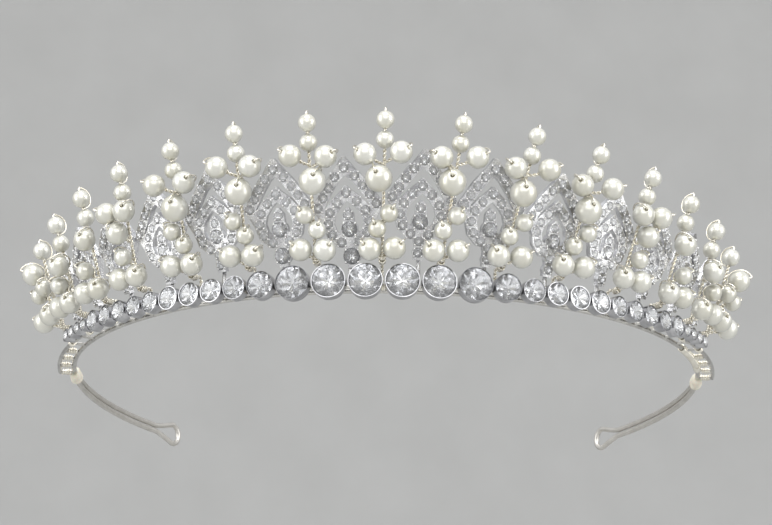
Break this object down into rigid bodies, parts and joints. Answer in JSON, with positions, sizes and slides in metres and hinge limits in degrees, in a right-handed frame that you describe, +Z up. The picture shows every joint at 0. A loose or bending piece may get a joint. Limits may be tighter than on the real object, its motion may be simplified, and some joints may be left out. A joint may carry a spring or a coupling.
{
  "type": "bridal tiara",
  "caption": "Half-round bridal tiara with cup-set stones, graded rhinestone arches, wired pearl sprays and two springy wire hair loops.",
  "frame": {"origin": "under the middle of the tiara's box, at the height that its largest cups and its loop tips stand on", "axes": "+Z up, the front of the tiara faces -Y, +X to the right seen from the front"},
  "size_m": [0.1654, 0.1532, 0.0389],
  "materials": {
    "cast_silver": "rhodium-plated casting, bright edges and darker recesses",
    "cup_silver": "bright silver-plated stone cups",
    "band_wire": "silver-plated band wire, satin",
    "fine_wire": "thin silver-plated craft wire with a warm cast",
    "loop_wire": "satin spring wire with a slight warm tint in the bend",
    "crystal": "clear foil-backed cut stone",
    "pearl": "ivory imitation pearl, glossy",
    "cream_sleeve": "cream resin sleeve"
  },
  "bodies": {
    "tiara": {"head_wire": "band_wire", "band_ladder": "band_wire", "large_cups": "cup_silver", "medium_cups": "cup_silver", "small_cups": "cup_silver", "large_stones": "crystal", "medium_stones": "crystal", "small_stones": "crystal", "pave_stones": "crystal", "drop_stones": "crystal", "end_sleeves": "cream_sleeve", "lashing_wire": "fine_wire", "arch_01": "cast_silver", "arch_02": "cast_silver", "arch_03": "cast_silver", "arch_04": "cast_silver", "arch_05": "cast_silver", "arch_06": "cast_silver", "arch_07": "cast_silver", "arch_08": "cast_silver", "arch_09": "cast_silver", "arch_10": "cast_silver", "arch_11": "cast_silver", "arch_12": "cast_silver", "arch_13": "cast_silver", "arch_14": "cast_silver", "spray_pearls_01": "pearl", "spray_pearls_02": "pearl", "spray_pearls_03": "pearl", "spray_pearls_04": "pearl", "spray_pearls_05": "pearl", "spray_pearls_06": "pearl", "spray_pearls_07": "pearl", "spray_pearls_08": "pearl", "spray_pearls_09": "pearl", "spray_pearls_10": "pearl", "spray_pearls_11": "pearl", "spray_pearls_12": "pearl", "spray_pearls_13": "pearl", "spray_pearls_14": "pearl", "spray_pearls_15": "pearl", "spray_wire_01": "fine_wire", "spray_wire_02": "fine_wire", "spray_wire_03": "fine_wire", "spray_wire_04": "fine_wire", "spray_wire_05": "fine_wire", "spray_wire_06": "fine_wire", "spray_wire_07": "fine_wire", "spray_wire_08": "fine_wire", "spray_wire_09": "fine_wire", "spray_wire_10": "fine_wire", "spray_wire_11": "fine_wire", "spray_wire_12": "fine_wire", "spray_wire_13": "fine_wire", "spray_wire_14": "fine_wire", "spray_wire_15": "fine_wire"},
    "left_leg": {"left_hair_loop": "loop_wire"},
    "right_leg": {"right_hair_loop": "loop_wire"}
  },
  "joints": [
    {"name": "left_leg_flex", "type": "hinge", "parent": "tiara", "child": "left_leg", "pos_m": [-0.07217, 0.01913, 0.00302], "axis": [0, 0, 1], "range_deg": [-3, 10], "stiffness_Nm_per_rad": 0.05},
    {"name": "right_leg_flex", "type": "hinge", "parent": "tiara", "child": "right_leg", "pos_m": [0.07217, 0.01913, 0.00302], "axis": [0, 0, -1], "range_deg": [-3, 10], "stiffness_Nm_per_rad": 0.05}
  ]
}
